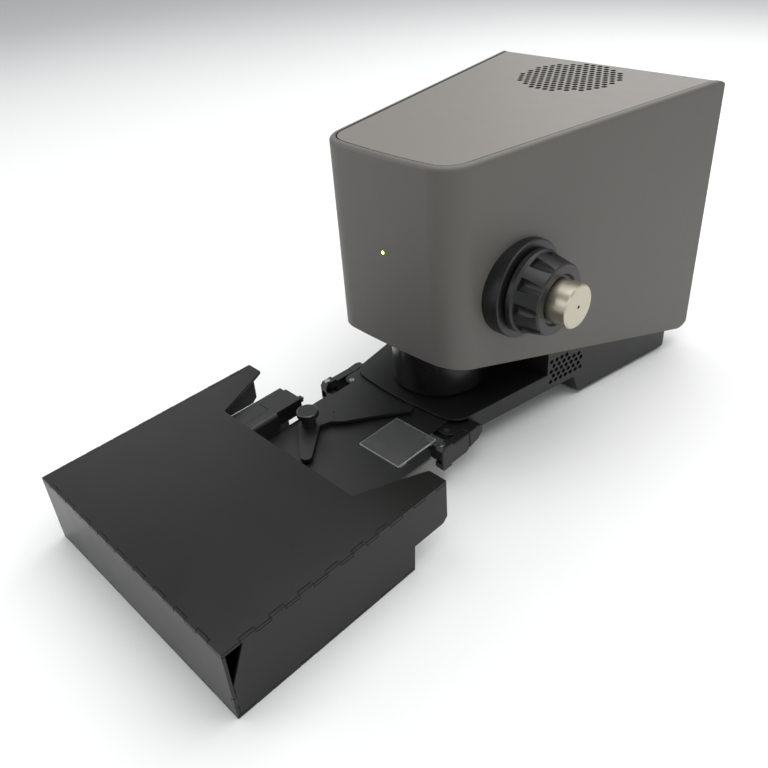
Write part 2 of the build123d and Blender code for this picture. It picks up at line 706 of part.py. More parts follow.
def sphere_half(upper):
    """One half of the hollow integrating sphere."""
    low = SPHERE_Z if upper else CARRIAGE_LOW - RING_THICK
    high = SPHERE_Z + SPHERE_R + 5 if upper else SPHERE_Z
    with BuildPart() as half:
        with BuildSketch(along_y(0, PORT_Y, SPHERE_Z)):
            with BuildLine():
                Line((0, -SPHERE_R), (0, SPHERE_R))
                ThreePointArc((0, SPHERE_R), (SPHERE_R, 0), (0, -SPHERE_R))
            make_face()
        revolve(axis=Axis((0, PORT_Y, 0), (0, 0, 1)))
        add(rod(along_z(0, PORT_Y, SPHERE_Z - 4), SPHERE_R + 3, 8))
        if not upper:
            add(rod(along_z(0, PORT_Y, CARRIAGE_LOW - RING_THICK), 17.9, 25))
        with BuildSketch(along_y(0, PORT_Y, SPHERE_Z)):
            with BuildLine():
                Line((0, -SPHERE_R + 5), (0, SPHERE_R - 5))
                ThreePointArc((0, SPHERE_R - 5), (SPHERE_R - 5, 0), (0, -SPHERE_R + 5))
            make_face()
        revolve(axis=Axis((0, PORT_Y, 0), (0, 0, 1)), mode=Mode.SUBTRACT)
        add(rod(along_z(0, PORT_Y, 100), 14, 50), mode=Mode.SUBTRACT)
        add(block(-100, 100, -50, 150, low, high), mode=Mode.INTERSECT)
    return half.part


keep("sphere_lower", sphere_half(False))
keep("sphere_upper", sphere_half(True))

with BuildPart() as lamp_housing:
    add(rod(along_z(0, PORT_Y, SPHERE_Z + 38.5), 15, 26))
    add(rod(along_z(0, PORT_Y, SPHERE_Z + 60), 17, 10))
    ball = Pos(0, PORT_Y, SPHERE_Z) * Sphere(SPHERE_R + 0.02, mode=Mode.PRIVATE)
    add(ball, mode=Mode.SUBTRACT)
keep("lamp_housing", lamp_housing.part)

# ------------------------------------------------------------------ stage frame, fixed
FRAME_LOW = 4.0
FRAME_HIGH = 14.0
RAIL_HIGH = 20.0
LATCH_X = 78.6                 # hinge pins of the two latch arms
LATCH_Y = -36.5
LUG_LOW = 26.6
LUG_HIGH = 33.4
MOTOR_Z = 54.0                 # axis of the lead screw that drives the stage along Y
SCREW_LINE_X = -59.0

with BuildPart() as stage_frame:
    add(block(-36, 36, -292, -12.5, FRAME_LOW, FRAME_HIGH))
    add(block(-26, 26, -240, -70, FRAME_LOW - 1, FRAME_LOW + 6), mode=Mode.SUBTRACT)
    add(block(-30, 30, -31, -12.5, FRAME_HIGH, LIP_TOP - LIP_DEEP))
    add(block(-LATCH_X, LATCH_X, LATCH_Y - 3.9, LATCH_Y + 3.9, LUG_LOW, LUG_HIGH))
    add(block(-30, 30, LATCH_Y - 3.9, -30, FRAME_HIGH, LUG_HIGH - 1))
    for side in (-1, 1):
        add(rod(along_z(side * LATCH_X, LATCH_Y, LUG_LOW), 3.9, LUG_HIGH - LUG_LOW))
        add(rod(along_z(side * LATCH_X, LATCH_Y, 0), 2.0, 60), mode=Mode.SUBTRACT)
    # plate and shelf that carry the motor
    add(block(-87, -81, -150, -90, FRAME_HIGH - 6, 61.5))
    add(block(-87, -36, -150, -130, FRAME_HIGH - 6, FRAME_HIGH))
    add(block(-81, -66, -155, -120, 54, 61.5))
    # bearing block at the front end of the lead screw
    add(block(-69, -50, -301, -296, FRAME_LOW, 60))
    add(block(-60, -36, -301, -288, FRAME_LOW, FRAME_HIGH))
    add(rod(along_y(SCREW_LINE_X, -310, MOTOR_Z), 2.0 + RUN, 30), mode=Mode.SUBTRACT)
keep("stage_frame", stage_frame.part)

with BuildPart() as stage_rails:
    for side in (-1, 1):
        add(block(side * 24 - 4, side * 24 + 4, -290, -50, FRAME_HIGH, RAIL_HIGH))
keep("stage_rails", stage_rails.part)

FOOT_R = 9.0
base_feet_spots = [(-88, 178), (88, 178), (-96, 280), (96, 280)]
with BuildPart() as rubber_feet:
    with BuildSketch():
        with Locations(base_feet_spots):
            Circle(FOOT_R)
    extrude(amount=BASE_LOW)
    chamfer(rubber_feet.faces().group_by(Axis.Z)[0].edges(), 1)
    with BuildSketch():
        with Locations((-26, -60), (26, -60)):
            Circle(7)
    extrude(amount=FRAME_LOW)
    with BuildSketch(Plane.XY.offset(SHEET + GAP)):
        with Locations((-26, -282), (26, -282)):
            Circle(7)
    extrude(amount=FRAME_LOW - SHEET - GAP)
keep("rubber_feet", rubber_feet.part)

with BuildPart() as latch_pins:
    for side in (-1, 1):
        add(rod(along_z(side * LATCH_X, LATCH_Y, 15), 2.0, 29))
        add(rod(along_z(side * LATCH_X, LATCH_Y, 43.8), 2.9, 1.6))
keep("latch_pins", latch_pins.part)

LATCH_IN = 75.2
LATCH_OUT = 84.6


def latch_arm(side):
    """Curved arm that swings on a pin at its front end."""
    view = side_outline(
        (-42, 21),
        (-40, 17.5),
        (-29, 17.5),
        (-29, 20),
        (-8, 20),
        (-4.2, 22.5),
        (-4.2, 40.5),
        (-26, 41),
        (-28, 43.5),
        (-39, 43.5),
        (-42, 40),
    )
    with BuildPart() as arm:
        add(across(view))
        near = side * LATCH_IN
        far = side * LATCH_OUT
        add(block(min(near, far), max(near, far), -60, 20, 0, 80), mode=Mode.INTERSECT)
        outer = arm.faces().sort_by(Axis.X)[-1 if side > 0 else 0]
        fillet(outer.edges(), 1.6)
        slot_end = side * (LATCH_X + 3.9 + 0.3)
        slot_low, slot_high = sorted((side * 60, slot_end))
        slot = block(slot_low, slot_high, -50, LATCH_Y + 8.5, LUG_LOW - 0.5, LUG_HIGH + 0.5)
        add(slot, mode=Mode.SUBTRACT)
        add(rod(along_z(side * LATCH_X, LATCH_Y, 0), 2.0 + RUN, 80), mode=Mode.SUBTRACT)
    return arm.part


def latch_anchor(side):
    """Fixed block on the side of the base that the latch arm closes against."""
    view = side_outline(
        (-3.6, 22.5), (9, 26), (15, 31), (16, 36), (14, 40), (8, 41.5), (-3.6, 40.5)
    )
    with BuildPart() as anchor:
        add(across(view))
        near = side * (LIP_HALF + 0.1)
        far = side * LATCH_OUT
        add(block(min(near, far), max(near, far), -60, 20, 0, 80), mode=Mode.INTERSECT)
        outer = anchor.faces().sort_by(Axis.X)[-1 if side > 0 else 0]
        fillet(outer.edges(), 1.6)
        add(base_block.part, mode=Mode.SUBTRACT)
    return anchor.part


keep("latch_left", latch_arm(-1))
keep("latch_right", latch_arm(1))

with BuildPart() as base_block:
    add(base_plan(-0.02))
    extrude(amount=80)

with BuildPart() as latch_anchors:
    add(latch_anchor(-1))
    add(latch_anchor(1))
keep("latch_anchors", latch_anchors.part)

with BuildPart() as y_motor:
    add(block(-81, -57, -120, -88, 44.6, 62))
    fillet(y_motor.edges().filter_by(Axis.Y), 1.2)
    add(rod(along_y(-62, -88, 57), 1.2, 6))
    add(rod(along_y(-62, -87, 57), 3.4, 3))
keep("y_motor", y_motor.part)

with BuildPart() as y_gearbox:
    add(block(-66, -52, -155, -120, 45, 64))
    fillet(y_gearbox.edges().filter_by(Axis.Y).group_by(Axis.Z)[-1], 4)
    add(rod(along_y(SCREW_LINE_X, -160, MOTOR_Z), 3.2, 20), mode=Mode.SUBTRACT)
keep("y_gearbox", y_gearbox.part)

with BuildPart() as y_screw:
    add(rod(along_y(SCREW_LINE_X, -295.5, MOTOR_Z), 3.0, 153))
    add(rod(along_y(SCREW_LINE_X, -300.5, MOTOR_Z), 2.0, 10))
keep("y_screw", y_screw.part)

# --------------------------------------------------------- saddle, moves along Y
SADDLE_HIGH = 30.0
CROSS_RAIL_Y = (-85.0, -125.0)
CROSS_RAIL_HIGH = 35.0
with BuildPart() as saddle:
    add(block(-40, 40, -168, -60, FRAME_HIGH + 1, SADDLE_HIGH))
    for side in (-1, 1):
        groove = block(side * 24 - 4.2, side * 24 + 4.2, -300, -40, 0, RAIL_HIGH + 0.2)
        add(groove, mode=Mode.SUBTRACT)
    add(block(-19, 19, -155, -73, FRAME_HIGH - 1, SADDLE_HIGH - 4), mode=Mode.SUBTRACT)
    for y in CROSS_RAIL_Y:
        add(block(-40, 40, y - 4, y + 4, SADDLE_HIGH, CROSS_RAIL_HIGH))
    # bracket up to the nut on the lead screw
    add(block(-84, -40, -167, -157, SADDLE_HIGH - 8, SADDLE_HIGH))
    add(block(-84, -78, -167, -157, SADDLE_HIGH, 61))
    add(block(-78, -52, -167, -157, 46.5, 61))
    add(rod(along_y(SCREW_LINE_X, -200, MOTOR_Z), 3.0 + RUN, 60), mode=Mode.SUBTRACT)
keep("saddle", saddle.part)

X_MOTOR_Y = -156.0
X_SCREW_Z = 35.0
with BuildPart() as x_motor:
    add(block(24, 39, X_MOTOR_Y - 9, X_MOTOR_Y + 9, SADDLE_HIGH, 40))
    add(rod(along_x(20, X_MOTOR_Y, X_SCREW_Z), 1.5 + RUN, 10), mode=Mode.SUBTRACT)
keep("x_motor", x_motor.part)

with BuildPart() as x_screw:
    add(rod(along_x(-33, X_MOTOR_Y, X_SCREW_Z), 2.0, 56))
    add(rod(along_x(22, X_MOTOR_Y, X_SCREW_Z), 1.5, 7))
keep("x_screw", x_screw.part)

# ------------------------------------------------------- table, moves along X on the saddle
TABLE_LOW = TABLE_TOP - TABLE_SHEET
with BuildPart() as table_carriage:
    add(block(-20, 20, -146, -70, CROSS_RAIL_HIGH - 4, TABLE_LOW))
    for y in CROSS_RAIL_Y:
        groove = block(-60, 60, y - 4.2, y + 4.2, 0, CROSS_RAIL_HIGH + 0.2)
        add(groove, mode=Mode.SUBTRACT)
    add(block(-6, 6, X_MOTOR_Y - 6, -145, SADDLE_HIGH + 0.8, TABLE_LOW))
    add(rod(along_x(-20, X_MOTOR_Y, X_SCREW_Z), 2.0 + RUN, 40), mode=Mode.SUBTRACT)
keep("table_carriage", table_carriage.part)

TABLE_FRONT = -186.0
TABLE_RIGHT = 82.0
TONGUE_HALF = 58.5
TONGUE_REAR = 74.0
with BuildPart() as stage_table:
    with BuildSketch(Plane.XY.offset(TABLE_LOW)) as table_view:
        with BuildLine():
            Polyline(
                (-53.5, TABLE_FRONT),
                (TABLE_RIGHT, TABLE_FRONT),
                (TABLE_RIGHT, -48),
                (TONGUE_HALF, -48),
                (TONGUE_HALF, TONGUE_REAR),
                (-TONGUE_HALF, TONGUE_REAR),
                (-TONGUE_HALF, -48),
                (-61.5, -48),
                (-61.5, -84),
                (-53.5, -92),
                close=True,
            )
        make_face()
        corner = table_view.vertices().sort_by_distance((TABLE_RIGHT, -48, TABLE_LOW))[0]
        fillet(corner, 12)
        inner = table_view.vertices().sort_by_distance((TONGUE_HALF, -48, TABLE_LOW))[0]
        fillet(inner, 3)
        with Locations((0, PORT_Y)):
            Circle(14, mode=Mode.SUBTRACT)
    extrude(amount=TABLE_SHEET)
    add(rod(along_z(ARM_X, ARM_Y, TABLE_TOP), 4.0, 10.3))
    add(rod(along_z(ARM_X, ARM_Y, TABLE_TOP), 8.0, 3.0))
keep("stage_table", stage_table.part)

STOP = 0.5
sample_right = SAMPLE_X + SAMPLE_SIDE / 2
sample_front = SAMPLE_Y - SAMPLE_SIDE / 2
sample_rear = SAMPLE_Y + SAMPLE_SIDE / 2
with BuildPart() as sample_stops:
    add(block(sample_right + STOP, sample_right + 1.7, sample_rear - 9, sample_rear - 1, TABLE_TOP, TABLE_TOP + 1.7))
    add(block(sample_right + STOP, sample_right + 1.7, sample_front + 1, sample_front + 9, TABLE_TOP, TABLE_TOP + 1.7))
keep("sample_stops", sample_stops.part)

ARM_LOW = 46.5
ARM_HIGH = 49.3
HUB_R = 10.5
TIP_R = 5.5
SHORT_TIP = (0.0, -132.0)
LONG_TIP = (20.8, -20.6)


def short_leg():
    """Tapered leg from the hub to a round tip."""
    span = Vector(SHORT_TIP[0] - ARM_X, SHORT_TIP[1] - ARM_Y)
    across_leg = Vector(-span.Y, span.X).normalized()
    hub = Vector(ARM_X, ARM_Y)
    end = Vector(*SHORT_TIP)
    with BuildSketch() as shape:
        with BuildLine():
            Polyline(
                hub + across_leg * HUB_R,
                hub - across_leg * HUB_R,
                end - across_leg * TIP_R,
                end + across_leg * TIP_R,
                close=True,
            )
        make_face()
        with Locations(SHORT_TIP):
            Circle(TIP_R)
        with Locations((ARM_X, ARM_Y)):
            Circle(HUB_R)
    return shape.sketch


def long_leg():
    """Broad curved leg that narrows to a round tip beside the sample."""
    with BuildSketch() as shape:
        with BuildLine():
            Line((-43, -97), (-31, -70))
            ThreePointArc((-31, -70), (-8.5, -39.5), (17.5, -16.5))
            Line((17.5, -16.5), (25, -24))
            ThreePointArc((25, -24), (6, -49.5), (-10.6, -74.4))
            Line((-10.6, -74.4), (-20.8, -83.7))
            Line((-20.8, -83.7), (-24, -94))
            Line((-24, -94), (-43, -97))
        make_face()
        with Locations(LONG_TIP):
            Circle(TIP_R)
    return shape.sketch


with BuildPart() as swing_arm:
    with BuildSketch(Plane.XY.offset(ARM_LOW)):
        add(short_leg())
        add(long_leg())
    extrude(amount=ARM_HIGH - ARM_LOW)
    # fine groove across the long leg, where it is fixed to the hub
    with BuildSketch(Plane.XY.offset(ARM_HIGH - 0.8)):
        with Locations(Location((-24.5, -75.5), -40)):
            Rectangle(15, 1.2)
    extrude(amount=3, mode=Mode.SUBTRACT)
    add(rod(along_z(ARM_X, ARM_Y, 30), 4.0 + RUN, 40), mode=Mode.SUBTRACT)
keep("swing_arm", swing_arm.part)

with BuildPart() as thumb_knob:
    add(rod(along_z(ARM_X, ARM_Y, ARM_HIGH + 0.3), 7.0, 60.9 - ARM_HIGH))
    add(rod(along_z(ARM_X, ARM_Y, 60.8), 10.5, 5.0))
    fillet(thumb_knob.faces().sort_by(Axis.Z)[-1].edges(), 1.2)
    add(rod(along_z(ARM_X, ARM_Y, 30), 4.0 + RUN, 26), mode=Mode.SUBTRACT)
keep("thumb_knob", thumb_knob.part)

with BuildPart() as sample_plate:
    with BuildSketch(Plane.XY.offset(TABLE_TOP + 0.05)):
        with Locations((SAMPLE_X, SAMPLE_Y)):
            Rectangle(SAMPLE_SIDE, SAMPLE_SIDE)
    extrude(amount=SAMPLE_SHEET)
keep("sample_plate", sample_plate.part)

# ----------------------------------------------- stage cover, finger-jointed black sheet
TOP_IN = COVER_TOP - SHEET
SIDE_IN = COVER_HALF - SHEET
CORNER_LOW = 33.0              # lowest point of the finger hole at the top front corners
FRONT_IN = FRONT + SHEET


def spans(start, end, count, first):
    """Every other span of a row of equal fingers, starting with number first."""
    step = (end - start) / count
    return [(start + i * step, start + (i + 1) * step) for i in range(first, count, 2)]


def edge_fingers(first):
    """Finger blocks on the shared edges; first says which sheet they belong to."""
    blocks = {"top_front": [], "floor_front": [], "top_side": [], "floor_side": [], "front_side": []}
    for x0, x1 in spans(-SIDE_IN, SIDE_IN, 19, first):
        blocks["top_front"].append(block(x0, x1, FRONT, FRONT_IN, TOP_IN, COVER_TOP))
        blocks["floor_front"].append(block(x0, x1, FRONT, FRONT_IN, 0, SHEET))
    for y0, y1 in spans(FRONT_IN, COVER_EAR, 17, first):
        for x0, x1 in ((-COVER_HALF, -SIDE_IN), (SIDE_IN, COVER_HALF)):
            blocks["top_side"].append(block(x0, x1, y0, y1, TOP_IN, COVER_TOP))
    for y0, y1 in spans(FRONT_IN, COVER_LOW_REAR, 13, first):
        for x0, x1 in ((-COVER_HALF, -SIDE_IN), (SIDE_IN, COVER_HALF)):
            blocks["floor_side"].append(block(x0, x1, y0, y1, 0, SHEET))
    for z0, z1 in spans(SHEET, CORNER_LOW, 3, first):
        for x0, x1 in ((-COVER_HALF, -SIDE_IN), (SIDE_IN, COVER_HALF)):
            blocks["front_side"].append(block(x0, x1, FRONT, FRONT_IN, z0, z1))
    return blocks


even = edge_fingers(0)
odd = edge_fingers(1)

with BuildPart() as cover_top:
    with BuildSketch(Plane.XY.offset(TOP_IN)) as top_view:
        with BuildLine():
            Polyline(
                (-COVER_HALF, FRONT),
                (COVER_HALF, FRONT),
                (COVER_HALF, COVER_EAR),
                (114, COVER_EAR),
                (110, -100),
                (87, COVER_NOTCH),
                (-87, COVER_NOTCH),
                (-110, -100),
                (-114, COVER_EAR),
                (-COVER_HALF, COVER_EAR),
                close=True,
            )
        make_face()
        fillet(top_view.vertices().group_by(Axis.Y)[-1].sort_by(Axis.X)[1:3], 3)
    extrude(amount=SHEET)
    add(odd["top_front"] + odd["top_side"], mode=Mode.SUBTRACT)
keep("cover_top", cover_top.part)

with BuildPart() as cover_floor:
    add(block(-COVER_HALF, COVER_HALF, FRONT, COVER_LOW_REAR, 0, SHEET))
    add(odd["floor_front"] + odd["floor_side"], mode=Mode.SUBTRACT)
keep("cover_floor", cover_floor.part)

with BuildPart() as cover_front:
    add(block(-SIDE_IN, SIDE_IN, FRONT, FRONT_IN, SHEET, TOP_IN))
    add(odd["top_front"] + odd["floor_front"] + even["front_side"])
    for x0, x1 in ((-COVER_HALF, -SIDE_IN), (SIDE_IN, COVER_HALF)):
        add(block(x0, x1, FRONT, FRONT_IN, CORNER_LOW, TOP_IN))
keep("cover_front", cover_front.part)

side_view = side_outline(
    (FRONT_IN, SHEET),
    (COVER_LOW_REAR, SHEET),
    (COVER_LOW_REAR + 1.5, 26),
    (-97, 26),
    (COVER_EAR, 31),
    (COVER_EAR, TOP_IN),
    (FRONT_IN, TOP_IN),
)
corner_hole = side_outline((FRONT_IN - 1, TOP_IN), (-299, TOP_IN), (FRONT_IN - 1, CORNER_LOW))


def cover_side(side):
    """One side sheet, with a finger hole in its upper front corner."""
    near = min(side * SIDE_IN, side * COVER_HALF)
    with BuildPart() as sheet:
        add(across(side_view))
        add(odd["top_side"] + odd["floor_side"] + odd["front_side"])
        add(across(corner_hole), mode=Mode.SUBTRACT)
        add(block(near, near + SHEET, FRONT - 5, 0, 0, 100), mode=Mode.INTERSECT)
    return sheet.part


keep("cover_left", cover_side(-1))
keep("cover_right", cover_side(1))

low = min(piece.bounding_box().min.X for piece in pieces.values())
high = max(piece.bounding_box().max.X for piece in pieces.values())
print("nodes", len(pieces), "x", round(low, 2), round(high, 2))
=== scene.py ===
# %% [markdown]
# # A bench spectrophotometer, dressed for its portrait
# The instrument has a grey wedge-shaped head on a black base, a measuring nose under the
# head, two knobs that share one axis, a sample stage and a box of black acrylic sheet.
# Its solid parts come from the CAD frame. This script gives them their finishes and
# adds the small things that a drawing leaves out: rounded edges, screws, threads, glass.

# %% Load the frame
import json
import math

import bmesh
import bpy
from mathutils import Matrix, Vector


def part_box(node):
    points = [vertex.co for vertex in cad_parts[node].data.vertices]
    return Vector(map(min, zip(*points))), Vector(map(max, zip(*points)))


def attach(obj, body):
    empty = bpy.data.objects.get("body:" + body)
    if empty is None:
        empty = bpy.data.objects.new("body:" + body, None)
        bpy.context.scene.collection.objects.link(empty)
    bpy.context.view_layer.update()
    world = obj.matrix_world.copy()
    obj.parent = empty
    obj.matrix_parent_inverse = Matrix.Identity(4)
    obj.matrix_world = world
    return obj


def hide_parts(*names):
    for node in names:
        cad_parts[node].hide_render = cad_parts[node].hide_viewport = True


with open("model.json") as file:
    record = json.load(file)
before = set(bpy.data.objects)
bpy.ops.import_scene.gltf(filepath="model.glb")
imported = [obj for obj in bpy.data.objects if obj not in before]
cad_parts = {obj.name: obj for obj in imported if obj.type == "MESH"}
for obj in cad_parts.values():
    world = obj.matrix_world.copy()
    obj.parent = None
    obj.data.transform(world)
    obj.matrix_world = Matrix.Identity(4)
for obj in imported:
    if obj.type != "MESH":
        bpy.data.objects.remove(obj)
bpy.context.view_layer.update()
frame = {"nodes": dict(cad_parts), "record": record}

nodes = frame["nodes"]
MM = 0.001

# %% [markdown]
# ## Shader maths as plain expressions
# A pattern is arithmetic on the place of a point: how far along, how far round, which
# stripe. Blender does arithmetic with Math nodes, and a long chain of them is hard to
# read. A small class that wraps a socket lets the sum be written as a sum, and each
# operator adds its own node.


# %% The class that wraps a socket
class Value:
    def __init__(self, tree, socket):
        self.tree = tree
        self.socket = socket

    def node(self, kind, settings=None, **inputs):
        """Add any node: settings are set first, then values or links by socket name."""
        made = self.tree.nodes.new(kind)
        for key, setting in (settings or {}).items():
            setattr(made, key, setting)
        for key, value in inputs.items():
            plug(self.tree, made.inputs[key.replace("_", " ")], value)
        return made

    def maths(self, operation, *values):
        made = self.tree.nodes.new("ShaderNodeMath")
        made.operation = operation
        for socket, value in zip(made.inputs, values):
            plug(self.tree, socket, value)
        return Value(self.tree, made.outputs[0])

    def __add__(self, other):
        return self.maths("ADD", self, other)

    def __sub__(self, other):
        return self.maths("SUBTRACT", self, other)

    def __rsub__(self, other):
        return self.maths("SUBTRACT", other, self)

    def __mul__(self, other):
        return self.maths("MULTIPLY", self, other)

    def __truediv__(self, other):
        return self.maths("DIVIDE", self, other)

    __radd__ = __add__
    __rmul__ = __mul__


def plug(tree, socket, value):
    """Link a wrapped value to a socket, or set a plain one on it."""
    if isinstance(value, Value):
        tree.links.new(value.socket, socket)
    else:
        socket.default_value = value


print("operators ready:", [name for name in vars(Value) if name.startswith("__")][1:])

# %% [markdown]
# ## One recipe for every finish
# Almost all finishes here are one Principled shader with a colour, a roughness and a
# little unevenness. The recipe takes the even values as numbers, because they are the
# same all over, and a grain function where the surface has one. Grain sizes are real:
# powder coat has an orange-peel of about half a millimetre.


# %% The recipe
def finish(name, colour, roughness, metallic=0.0, grain=None, **even):
    """Make a material; grain(place, bsdf) may link colour, roughness or normal."""
    material = bpy.data.materials.new(name)
    material.use_nodes = True
    tree = material.node_tree
    bsdf = tree.nodes["Principled BSDF"]
    bsdf.inputs["Base Color"].default_value = (*colour, 1.0)
    bsdf.inputs["Roughness"].default_value = roughness
    bsdf.inputs["Metallic"].default_value = metallic
    for key, value in even.items():
        bsdf.inputs[key.replace("_", " ")].default_value = value
    if grain:
        place = tree.nodes.new("ShaderNodeTexCoord").outputs["Object"]
        grain(Value(tree, place), bsdf)
    material.diffuse_color = (*colour, 1.0)
    return material


def noise(place, size, detail=2.0):
    """Soft noise between 0 and 1 whose blobs are about size metres across."""
    made = place.node("ShaderNodeTexNoise", Vector=place, Scale=1.0 / size, Detail=detail)
    return Value(place.tree, made.outputs["Factor" if "Factor" in made.outputs else "Fac"])


def raise_by(height, bsdf, depth, strength=1.0):
    """Turn a height pattern into a change of the surface's normal."""
    made = height.node(
        "ShaderNodeBump", Height=height, Distance=depth, Strength=strength
    )
    height.tree.links.new(made.outputs["Normal"], bsdf.inputs["Normal"])


def mix_colours(factor, first, second):
    """A colour between two colours."""
    made = factor.tree.nodes.new("ShaderNodeMix")
    made.data_type = "RGBA"
    plug(factor.tree, made.inputs["Factor"], factor)
    colour_inputs = [socket for socket in made.inputs if socket.type == "RGBA"]
    colour_inputs[0].default_value = (*first, 1.0)
    colour_inputs[1].default_value = (*second, 1.0)
    outputs = [socket for socket in made.outputs if socket.type == "RGBA"]
    return Value(factor.tree, outputs[0])


def split(place):
    """The x, y and z of a place as three wrapped values."""
    made = place.node("ShaderNodeSeparateXYZ", Vector=place)
    return [Value(place.tree, made.outputs[axis]) for axis in "XYZ"]


print("recipe ready")

# %% [markdown]
# ## Powder coat, the head's and the base's skin
# Powder is sprayed dry and baked, so it flows into low round bumps. On the head it is
# a warm mid grey, and slow drifts in tone keep the large faces from looking printed.
# The black coat on the base and the stage has the same bumps but more shine. The lid's
# cut edges carry painted shade: they are coloured black so that the groove round it and
# its vent holes read as dark openings.

# %% Powder coats
COAT_PEEL = 0.9 * MM
COAT_DEPTH = 0.018 * MM
COAT_CLOUD = 90 * MM      # slow drift in tone
COAT_PATCH = 14 * MM      # patches of more and less shine


def peel(place, bsdf, roughness, swing):
    """The shine and the low round bumps of powder coat."""
    patchy = noise(place, COAT_PATCH)
    plug(place.tree, bsdf.inputs["Roughness"], patchy * swing + (roughness - swing / 2))
    raise_by(noise(place, COAT_PEEL, 3.0), bsdf, COAT_DEPTH, 0.6)


def powder(tone, drift, roughness, swing):
    """A grain function for powder coat with its own tone and shine."""

    def grain(place, bsdf):
        cloud = noise(place, COAT_CLOUD)
        darker = [channel * (1 - drift) for channel in tone]
        lighter = [channel * (1 + drift) for channel in tone]
        plug(place.tree, bsdf.inputs["Base Color"], mix_colours(cloud, darker, lighter))
        peel(place, bsdf, roughness, swing)

    return grain


HEAD_TONE = (0.104, 0.100, 0.090)
PLATE_TONE = (0.165, 0.153, 0.136)
BLACK_TONE = (0.0060, 0.0060, 0.0060)
head_coat = finish(
    "warm grey powder coat", HEAD_TONE, 0.52, grain=powder(HEAD_TONE, 0.03, 0.52, 0.06)
)
lid_rear, lid_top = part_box("top_plate")[1][1:]
LID_EDGE = lid_top - 0.05 * MM
LID_EDGE_BLEND = 0.1 * MM
LID_BEND = lid_rear - 16 * MM
LID_BEND_BLEND = 1.0 * MM
# painted shade: the black given to the lid's cut edges stands for the shade in its groove and
# vent holes
GROOVE_SHADE_TONE = (0.006, 0.006, 0.006)


def clamped(value):
    """A value held between 0 and 1."""
    return Value(value.tree, value.node("ShaderNodeClamp", Value=value).outputs["Result"])


def lid_coat_with_painted_shade(place, bsdf):
    """The lid's coat, with painted shade: its cut edges in the groove and vent holes are
    black.
    """
    peel(place, bsdf, 0.50, 0.06)
    _, y, z = split(place)
    # painted shade: below the lid's top and ahead of its bend the coat turns black, for the
    # shade in the groove and vent holes
    below = clamped((LID_EDGE - z) / LID_EDGE_BLEND)
    ahead = clamped((LID_BEND - y) / LID_BEND_BLEND)
    tone = mix_colours(below * ahead, PLATE_TONE, GROOVE_SHADE_TONE)
    plug(place.tree, bsdf.inputs["Base Color"], tone)


plate_coat = finish("light grey powder coat", PLATE_TONE, 0.50, grain=lid_coat_with_painted_shade)
black_coat = finish(
    "satin black powder coat", BLACK_TONE, 0.42, grain=powder(BLACK_TONE, 0.08, 0.42, 0.08)
)
print("coats:", head_coat.name, "|", plate_coat.name, "|", black_coat.name)

# %% [markdown]
# ## Black acrylic sheet
# The box round the stage is cut from black sheet. Its faces are even and softly glossy,
# with faint handling marks. The nose is a glossy anodised tube, and the knobs and the
# connectors are moulded plastic.

# %% Acrylic, anodised tube and moulded plastic


def wiped(place, bsdf):
    """Faint handling marks that only change how sharp a reflection is."""
    smear = noise(place, 35 * MM, 4.0)
    dust = noise(place, 3 * MM, 2.0)
    plug(place.tree, bsdf.inputs["Roughness"], smear * 0.10 + dust * 0.03 + 0.24)


def moulded(place, bsdf):
    """Spark-eroded mould texture."""
    raise_by(noise(place, 0.5 * MM, 2.0), bsdf, 0.02 * MM, 0.5)
    plug(place.tree, bsdf.inputs["Roughness"], noise(place, 6 * MM) * 0.08 + 0.36)


acrylic = finish(
    "black acrylic sheet", (0.0070, 0.0068, 0.0064), 0.3, grain=wiped, Specular_IOR_Level=0.28
)
tube_black = finish("gloss black anodised tube", (0.007, 0.007, 0.008), 0.24)
plastic = finish("moulded black plastic", (0.0080, 0.0080, 0.0080), 0.4, grain=moulded)
polish = finish("polished black metal", (0.012, 0.012, 0.012), 0.14, 0.0, Coat_Weight=0.6)
rubber = finish("black rubber", (0.016, 0.016, 0.016), 0.85)
print("acrylic, tube, plastic and rubber ready")

# %% [markdown]
# ## Bare metals
# The fine knob is turned aluminium, blasted to a pale champagne. Turning leaves rings
# round the axis, so its grain is a function of the distance from the knob's axis. Ground
# steel rods have a shine that wanders, and the two lead screws carry a thread, which is
# a sine of the place along the axis plus the angle round it.

# %% Metals
knob_low, knob_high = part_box("fine_knob")
KNOB_Y = (knob_low[1] + knob_high[1]) / 2
KNOB_Z = (knob_low[2] + knob_high[2]) / 2
RING_PITCH = 0.35 * MM


def turned(place, bsdf):
    """Fine rings round the knob axis over a blasted surface."""
    _, y, z = split(place)
    beside = y - KNOB_Y
    above = z - KNOB_Z
    from_axis = place.maths("SQRT", beside * beside + above * above)
    rings = place.maths("SINE", from_axis * (2 * math.pi / RING_PITCH))
    blast = noise(place, 0.35 * MM, 2.0)
    raise_by(rings * 0.25 + blast, bsdf, 0.012 * MM, 0.6)
    plug(place.tree, bsdf.inputs["Roughness"], noise(place, 5 * MM) * 0.08 + 0.33)


def ground(place, bsdf):
    """Ground steel: roughness that wanders a little."""
    plug(place.tree, bsdf.inputs["Roughness"], noise(place, 2 * MM, 3.0) * 0.14 + 0.22)


def cast(place, bsdf):
    """Sand-blasted casting."""
    raise_by(noise(place, 0.8 * MM, 3.0), bsdf, 0.04 * MM, 0.6)


champagne = finish("turned champagne aluminium", (0.52, 0.485, 0.39), 0.36, 1.0, turned)
steel = finish("ground steel", (0.56, 0.56, 0.57), 0.28, 1.0, ground)
alloy = finish("machined alloy", (0.62, 0.62, 0.63), 0.34, 1.0, ground)
casting = finish("cast module housing", (0.20, 0.20, 0.21), 0.5, 0.8, cast)
brass = finish("brass", (0.72, 0.50, 0.20), 0.3, 1.0, ground)
print("metals:", champagne.name, steel.name, alloy.name, casting.name, brass.name)


